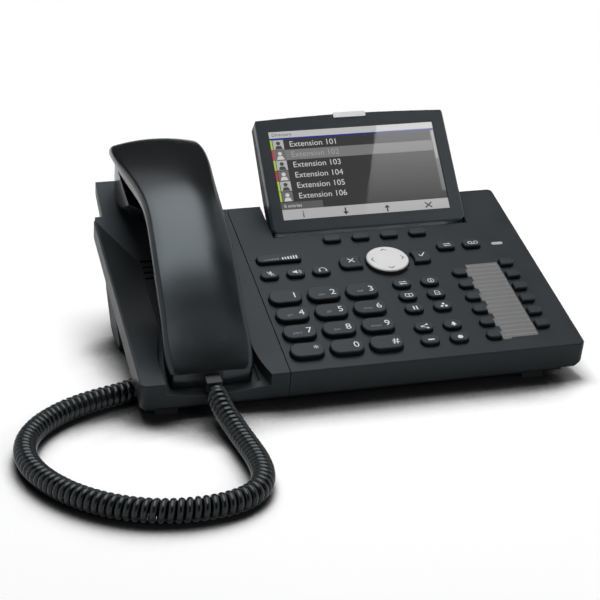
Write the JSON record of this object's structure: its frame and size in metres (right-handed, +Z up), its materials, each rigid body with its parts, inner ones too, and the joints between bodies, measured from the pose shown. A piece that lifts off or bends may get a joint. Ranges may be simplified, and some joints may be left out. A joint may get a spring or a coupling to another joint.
{
  "type": "desk ip phone",
  "caption": "Desk telephone with a tilting display, a lift-off handset on a curly cord, a full keypad with a round navigation pad, and a label strip between line keys.",
  "frame": {"origin": "on the table under the middle of the phone, measured without its cord", "axes": "+Z up, +X to the right as the user sees it, and the keypad's front edge faces -Y"},
  "size_m": [0.2924, 0.277, 0.1066],
  "materials": {
    "charcoal_case": "fine-grained satin",
    "black_case": "fine-grained matt",
    "handset_shell": "soft satin",
    "key_cap": "satin, printed white marks",
    "navigation_cap": "satin light grey",
    "bezel": "satin black",
    "screen": "lit colour screen",
    "screen_window": "clear",
    "lamp_lens": "clouded lens",
    "label_paper": "printed card",
    "label_cover": "clear sheet",
    "rubber": "matt",
    "cord": "glossy black",
    "plug": "smoked clear",
    "circuit_board": "lacquered",
    "socket": "moulded",
    "steel": "zinc plated",
    "speaker": "dark"
  },
  "bodies": {
    "base": {"base_housing": "black_case", "keypad_cover": "charcoal_case", "cradle_cover": "charcoal_case", "foot_stand": "black_case", "rubber_feet": "rubber", "housing_screws": "steel", "main_board": "circuit_board", "rear_sockets": "socket", "keypad_mat": "rubber", "key_board": "circuit_board", "loudspeaker": "speaker", "label_card": "label_paper", "label_window": "label_cover", "message_lamp": "lamp_lens", "hinge_pins": "steel", "base_plug": "plug", "curly_cord": "cord"},
    "display": {"display_bezel": "bezel", "display_back": "black_case", "lcd_module": "screen", "display_window": "screen_window", "call_lamp": "lamp_lens"},
    "handset": {"handset_back": "handset_shell", "handset_front": "handset_shell", "handset_receiver": "speaker", "handset_microphone": "speaker", "handset_jack": "socket", "handset_plug": "plug"},
    "hook_switch": {"hook_switch": "black_case"},
    "navigation_pivot": {"navigation_pivot": "key_cap"},
    "navigation_pad": {"navigation_pad": "navigation_cap"},
    "volume_rocker": {"volume_rocker": "key_cap"},
    "key_1": {"key_1": "key_cap"},
    "key_2": {"key_2": "key_cap"},
    "key_3": {"key_3": "key_cap"},
    "key_4": {"key_4": "key_cap"},
    "key_5": {"key_5": "key_cap"},
    "key_6": {"key_6": "key_cap"},
    "key_7": {"key_7": "key_cap"},
    "key_8": {"key_8": "key_cap"},
    "key_9": {"key_9": "key_cap"},
    "key_0": {"key_0": "key_cap"},
    "key_star": {"key_star": "key_cap"},
    "key_hash": {"key_hash": "key_cap"},
    "context_key_1": {"context_key_1": "key_cap"},
    "context_key_2": {"context_key_2": "key_cap"},
    "context_key_3": {"context_key_3": "key_cap"},
    "context_key_4": {"context_key_4": "key_cap"},
    "mute_key": {"mute_key": "key_cap"},
    "speaker_key": {"speaker_key": "key_cap"},
    "headset_key": {"headset_key": "key_cap"},
    "transfer_key": {"transfer_key": "key_cap"},
    "message_key": {"message_key": "key_cap"},
    "cancel_key": {"cancel_key": "key_cap"},
    "confirm_key": {"confirm_key": "key_cap"},
    "feature_keys_upper": {"feature_keys_upper": "key_cap"},
    "feature_keys_lower": {"feature_keys_lower": "key_cap"},
    "line_keys_left": {"line_keys_left": "key_cap"},
    "line_keys_right": {"line_keys_right": "key_cap"}
  },
  "joints": [
    {"name": "display_tilt", "type": "hinge", "parent": "base", "child": "display", "pos_m": [0.0338, 0.0381, 0.05033], "axis": [1, 0, 0], "range_deg": [-32, 12]},
    {"name": "handset_lift", "type": "slide", "parent": "base", "child": "handset", "axis": [0, -0.2807, 0.9598], "range_m": [0, 0.07]},
    {"name": "hook_travel", "type": "slide", "parent": "base", "child": "hook_switch", "axis": [0, -0.2807, 0.9598], "range_m": [0, 0.004]},
    {"name": "volume_rock", "type": "hinge", "parent": "base", "child": "volume_rocker", "pos_m": [-0.02365, 0.00916, 0.0415], "axis": [0, 0.9598, 0.2807], "range_deg": [-3, 3], "stiffness_Nm_per_rad": 0.05},
    {"name": "navigation_up_down", "type": "hinge", "parent": "base", "child": "navigation_pivot", "pos_m": [0.03335, -0.00041, 0.0386], "axis": [1, 0, 0], "range_deg": [-3, 3], "stiffness_Nm_per_rad": 0.06},
    {"name": "navigation_left_right", "type": "hinge", "parent": "navigation_pivot", "child": "navigation_pad", "pos_m": [0.03335, -0.00041, 0.0386], "axis": [0, 0.9598, 0.2807], "range_deg": [-3, 3], "stiffness_Nm_per_rad": 0.06},
    {"name": "press_key_1", "type": "slide", "parent": "base", "child": "key_1", "axis": [0, 0.2807, -0.9598], "range_m": [0, 0.0015], "stiffness_N_per_m": 500},
    {"name": "press_key_2", "type": "slide", "parent": "base", "child": "key_2", "axis": [0, 0.2807, -0.9598], "range_m": [0, 0.0015], "stiffness_N_per_m": 500},
    {"name": "press_key_3", "type": "slide", "parent": "base", "child": "key_3", "axis": [0, 0.2807, -0.9598], "range_m": [0, 0.0015], "stiffness_N_per_m": 500},
    {"name": "press_key_4", "type": "slide", "parent": "base", "child": "key_4", "axis": [0, 0.2807, -0.9598], "range_m": [0, 0.0015], "stiffness_N_per_m": 500},
    {"name": "press_key_5", "type": "slide", "parent": "base", "child": "key_5", "axis": [0, 0.2807, -0.9598], "range_m": [0, 0.0015], "stiffness_N_per_m": 500},
    {"name": "press_key_6", "type": "slide", "parent": "base", "child": "key_6", "axis": [0, 0.2807, -0.9598], "range_m": [0, 0.0015], "stiffness_N_per_m": 500},
    {"name": "press_key_7", "type": "slide", "parent": "base", "child": "key_7", "axis": [0, 0.2807, -0.9598], "range_m": [0, 0.0015], "stiffness_N_per_m": 500},
    {"name": "press_key_8", "type": "slide", "parent": "base", "child": "key_8", "axis": [0, 0.2807, -0.9598], "range_m": [0, 0.0015], "stiffness_N_per_m": 500},
    {"name": "press_key_9", "type": "slide", "parent": "base", "child": "key_9", "axis": [0, 0.2807, -0.9598], "range_m": [0, 0.0015], "stiffness_N_per_m": 500},
    {"name": "press_key_0", "type": "slide", "parent": "base", "child": "key_0", "axis": [0, 0.2807, -0.9598], "range_m": [0, 0.0015], "stiffness_N_per_m": 500},
    {"name": "press_key_star", "type": "slide", "parent": "base", "child": "key_star", "axis": [0, 0.2807, -0.9598], "range_m": [0, 0.0015], "stiffness_N_per_m": 500},
    {"name": "press_key_hash", "type": "slide", "parent": "base", "child": "key_hash", "axis": [0, 0.2807, -0.9598], "range_m": [0, 0.0015], "stiffness_N_per_m": 500},
    {"name": "press_context_key_1", "type": "slide", "parent": "base", "child": "context_key_1", "axis": [0, 0.2807, -0.9598], "range_m": [0, 0.0015], "stiffness_N_per_m": 500},
    {"name": "press_context_key_2", "type": "slide", "parent": "base", "child": "context_key_2", "axis": [0, 0.2807, -0.9598], "range_m": [0, 0.0015], "stiffness_N_per_m": 500},
    {"name": "press_context_key_3", "type": "slide", "parent": "base", "child": "context_key_3", "axis": [0, 0.2807, -0.9598], "range_m": [0, 0.0015], "stiffness_N_per_m": 500},
    {"name": "press_context_key_4", "type": "slide", "parent": "base", "child": "context_key_4", "axis": [0, 0.2807, -0.9598], "range_m": [0, 0.0015], "stiffness_N_per_m": 500},
    {"name": "press_mute_key", "type": "slide", "parent": "base", "child": "mute_key", "axis": [0, 0.2807, -0.9598], "range_m": [0, 0.0015], "stiffness_N_per_m": 500},
    {"name": "press_speaker_key", "type": "slide", "parent": "base", "child": "speaker_key", "axis": [0, 0.2807, -0.9598], "range_m": [0, 0.0015], "stiffness_N_per_m": 500},
    {"name": "press_headset_key", "type": "slide", "parent": "base", "child": "headset_key", "axis": [0, 0.2807, -0.9598], "range_m": [0, 0.0015], "stiffness_N_per_m": 500},
    {"name": "press_transfer_key", "type": "slide", "parent": "base", "child": "transfer_key", "axis": [0, 0.2807, -0.9598], "range_m": [0, 0.0015], "stiffness_N_per_m": 500},
    {"name": "press_message_key", "type": "slide", "parent": "base", "child": "message_key", "axis": [0, 0.2807, -0.9598], "range_m": [0, 0.0015], "stiffness_N_per_m": 500},
    {"name": "press_cancel_key", "type": "slide", "parent": "base", "child": "cancel_key", "axis": [0, 0.2807, -0.9598], "range_m": [0, 0.0015], "stiffness_N_per_m": 500},
    {"name": "press_confirm_key", "type": "slide", "parent": "base", "child": "confirm_key", "axis": [0, 0.2807, -0.9598], "range_m": [0, 0.0015], "stiffness_N_per_m": 500},
    {"name": "press_feature_keys_upper", "type": "slide", "parent": "base", "child": "feature_keys_upper", "axis": [0, 0.2807, -0.9598], "range_m": [0, 0.0015], "stiffness_N_per_m": 500},
    {"name": "press_feature_keys_lower", "type": "slide", "parent": "base", "child": "feature_keys_lower", "axis": [0, 0.2807, -0.9598], "range_m": [0, 0.0015], "stiffness_N_per_m": 500},
    {"name": "press_line_keys_left", "type": "slide", "parent": "base", "child": "line_keys_left", "axis": [0, 0.2807, -0.9598], "range_m": [0, 0.0015], "stiffness_N_per_m": 500},
    {"name": "press_line_keys_right", "type": "slide", "parent": "base", "child": "line_keys_right", "axis": [0, 0.2807, -0.9598], "range_m": [0, 0.0015], "stiffness_N_per_m": 500}
  ],
  "couplings": [
    {"joint": "hook_travel", "follows": "handset_lift", "ratio": 0.057}
  ]
}
